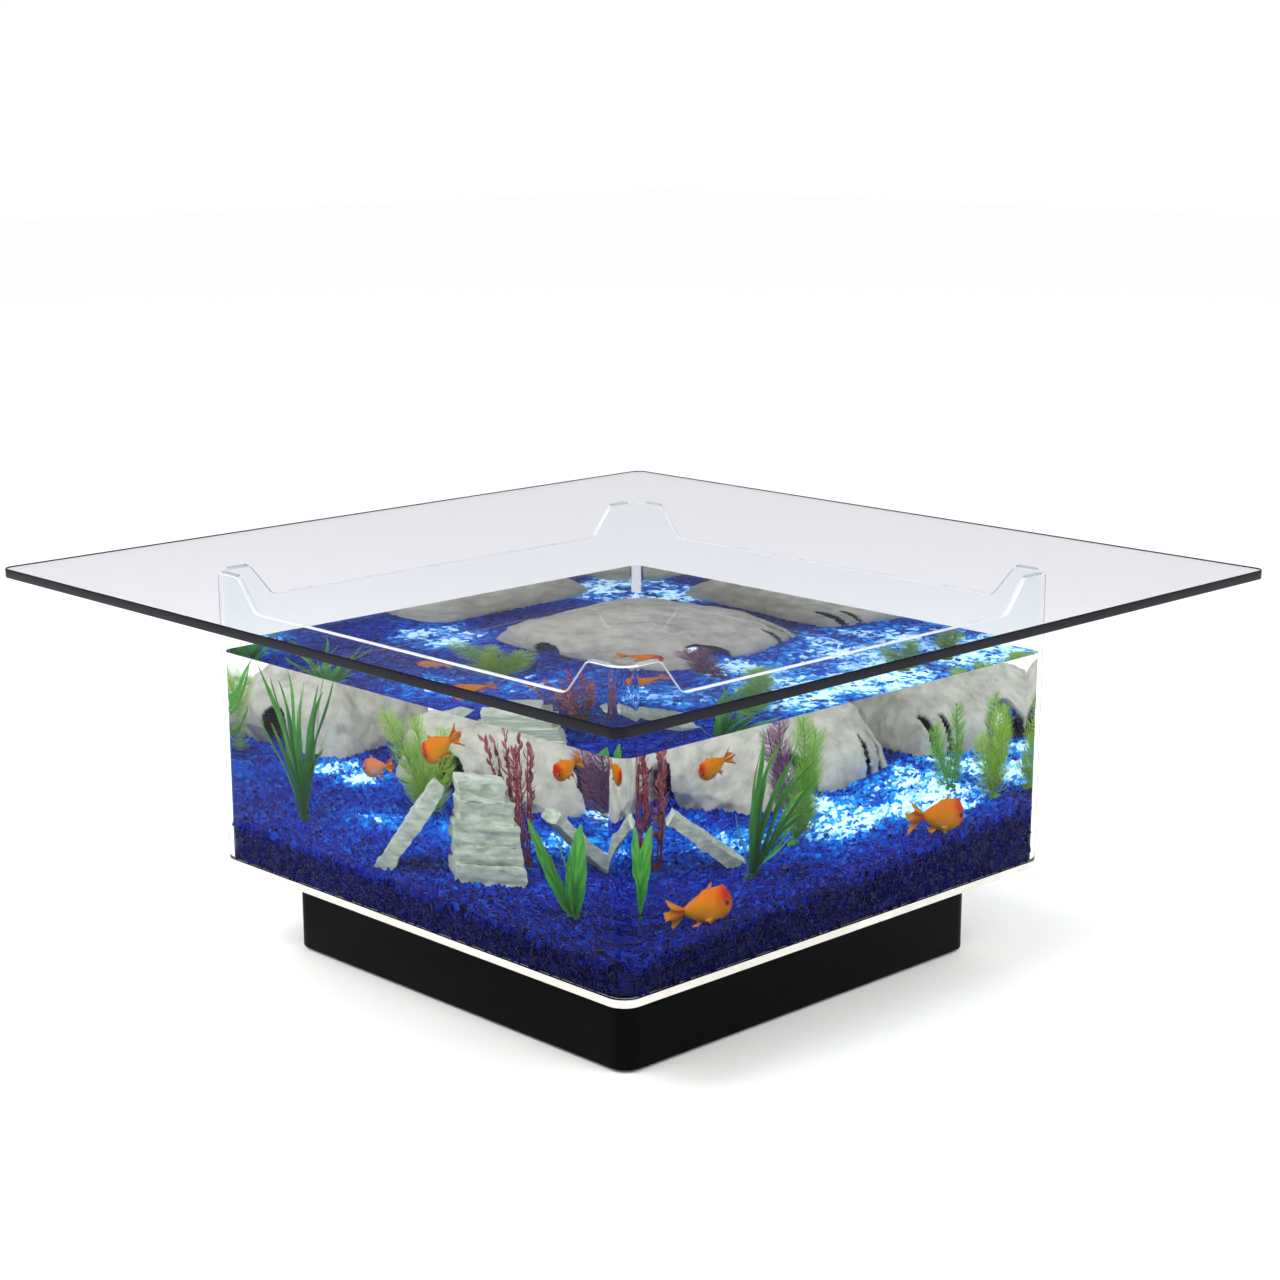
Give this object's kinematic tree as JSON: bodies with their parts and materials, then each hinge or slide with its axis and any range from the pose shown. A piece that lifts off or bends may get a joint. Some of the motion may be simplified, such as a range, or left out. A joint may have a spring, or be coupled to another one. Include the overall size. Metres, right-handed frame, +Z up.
{
  "type": "aquarium on stand",
  "caption": "Square clear coffee-table aquarium on a black plinth, with a loose glass top, blue gravel, hollow rock, plants and goldfish.",
  "frame": {"origin": "middle of the base, on the floor under the glide feet", "axes": "+Z up; the tank's walls stand along X and Y; -Y is the wall on the left of the near corner"},
  "size_m": [0.9144, 0.9144, 0.4093],
  "materials": {
    "plinth_lacquer": "satin black lacquer on board",
    "deck_board": "plain board, black-brown",
    "rib_pine": "sawn pine",
    "zinc_screw": "zinc plated",
    "glide_nylon": "moulded nylon",
    "foam": "closed-cell foam sheet",
    "acrylic": "polished clear cast acrylic",
    "bumper_vinyl": "clear soft vinyl",
    "top_glass": "polished clear float glass",
    "gravel": "coated cobalt blue crushed gravel",
    "cave_rock": "grey-brown moulded rock",
    "ruin_stone": "pale green-grey layered stone",
    "black_abs": "moulded black ABS",
    "seal_rubber": "moulded nitrile",
    "motor_resin": "potting resin",
    "impeller_plastic": "moulded acetal round a ferrite magnet",
    "ceramic_shaft": "ground white ceramic",
    "sponge": "open-cell filter foam",
    "suction_vinyl": "soft smoked vinyl",
    "lamp_board": "white circuit board with diodes",
    "lamp_lens": "frosted clear lens, lit from behind",
    "lamp_bezel": "turned and anodised",
    "steel_pin": "stainless pin",
    "ribbon_leaf": "moulded soft plastic leaf",
    "sword_leaf": "moulded soft plastic leaf",
    "twig_red": "moulded soft plastic twig",
    "feather_green": "moulded soft plastic frond",
    "feather_purple": "moulded soft plastic frond",
    "goldfish": "wet orange-gold scales"
  },
  "bodies": {
    "tank": {"bush_far": "feather_green", "cable_gland": "seal_rubber", "corner_blocks": "rib_pine", "deck_screws": "zinc_screw", "equipment_tray": "black_abs", "feather_far": "feather_green", "feather_left": "feather_green", "feather_middle": "feather_green", "feather_purple": "feather_purple", "filter_housing": "black_abs", "filter_seal": "seal_rubber", "foam_mat": "foam", "glide_feet": "glide_nylon", "goldfish_1": "goldfish", "goldfish_2": "goldfish", "goldfish_3": "goldfish", "goldfish_4": "goldfish", "goldfish_5": "goldfish", "goldfish_6": "goldfish", "gravel_bed": "gravel", "impeller_shaft": "ceramic_shaft", "lamp_1_bracket": "black_abs", "lamp_2_bracket": "black_abs", "lamp_pivots": "steel_pin", "plinth_deck": "deck_board", "plinth_shell": "plinth_lacquer", "pump_stator": "motor_resin", "rib_cross": "rib_pine", "rib_long": "rib_pine", "ribbon_plant_left": "ribbon_leaf", "ribbon_plant_right": "ribbon_leaf", "ruin_slab_back": "ruin_stone", "ruin_slab_front": "ruin_stone", "ruin_stack": "ruin_stone", "suction_feet": "suction_vinyl", "sword_plant": "sword_leaf", "tank_floor": "acrylic", "tank_walls": "acrylic", "top_bumpers": "bumper_vinyl", "twig_plant": "twig_red", "volute_cover": "black_abs"},
    "glass": {"glass_top": "top_glass"},
    "rock": {"rock_formation": "cave_rock"},
    "cartridge": {"filter_basket": "black_abs", "filter_sponge": "sponge"},
    "rotor": {"impeller": "impeller_plastic"},
    "nozzle": {"outlet_nozzle": "black_abs"},
    "lamp_1": {"lamp_1_housing": "black_abs", "lamp_1_board": "lamp_board", "lamp_1_lens": "lamp_lens", "lamp_1_bezel": "lamp_bezel", "lamp_1_gland": "seal_rubber"},
    "lamp_2": {"lamp_2_housing": "black_abs", "lamp_2_board": "lamp_board", "lamp_2_lens": "lamp_lens", "lamp_2_bezel": "lamp_bezel", "lamp_2_gland": "seal_rubber"}
  },
  "joints": [
    {"name": "top_lift", "type": "slide", "parent": "tank", "child": "glass", "axis": [0, 0, 1], "range_m": [0, 0.25]},
    {"name": "rock_lift", "type": "slide", "parent": "tank", "child": "rock", "axis": [0, 0, 1], "range_m": [0, 0.11]},
    {"name": "cartridge_pull", "type": "slide", "parent": "tank", "child": "cartridge", "axis": [-1, 0, 0], "range_m": [0, 0.045]},
    {"name": "impeller_spin", "type": "hinge", "parent": "tank", "child": "rotor", "pos_m": [-0.1217, 0.178, 0.188], "axis": [1, 0, 0], "continuous": true},
    {"name": "nozzle_swivel", "type": "hinge", "parent": "tank", "child": "nozzle", "pos_m": [-0.1217, 0.178, 0.215], "axis": [0, 0, 1], "range_deg": [-90, 90]},
    {"name": "lamp_1_tilt", "type": "hinge", "parent": "tank", "child": "lamp_1", "pos_m": [-0.054, 0.128, 0.184], "axis": [0, 1, 0], "range_deg": [-30, 30]},
    {"name": "lamp_2_tilt", "type": "hinge", "parent": "tank", "child": "lamp_2", "pos_m": [-0.15, 0.104, 0.184], "axis": [1, 0, 0], "range_deg": [-30, 30]}
  ]
}
